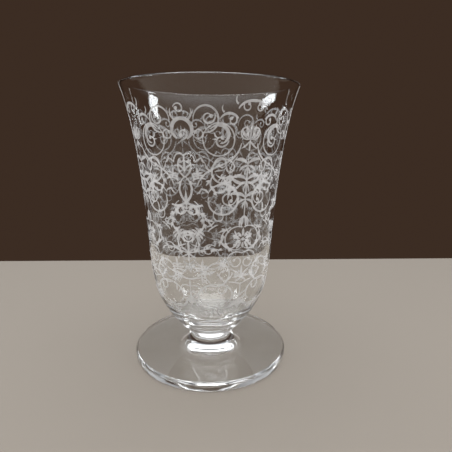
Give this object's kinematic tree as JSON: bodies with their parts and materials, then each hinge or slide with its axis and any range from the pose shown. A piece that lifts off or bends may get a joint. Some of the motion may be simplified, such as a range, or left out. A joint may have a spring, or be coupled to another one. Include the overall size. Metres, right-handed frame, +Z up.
{
  "type": "wine glass",
  "caption": "Footed wine glass of clear crystal: tall flared bowl with an etched scrollwork band, a short waisted solid stem and a thick flat foot.",
  "frame": {"origin": "centre of the flat underside of the foot, on the surface that the glass stands on", "axes": "+Z up along the axis of the glass, from the foot to the lip; the glass is round, so X and Y have no marks of their own"},
  "size_m": [0.082, 0.082, 0.133],
  "materials": {
    "clear_crystal": "polished, acid-etched ornament on the outside of the bowl"
  },
  "bodies": {
    "root": {"bowl": "clear_crystal", "stem": "clear_crystal", "foot": "clear_crystal"}
  },
  "joints": []
}
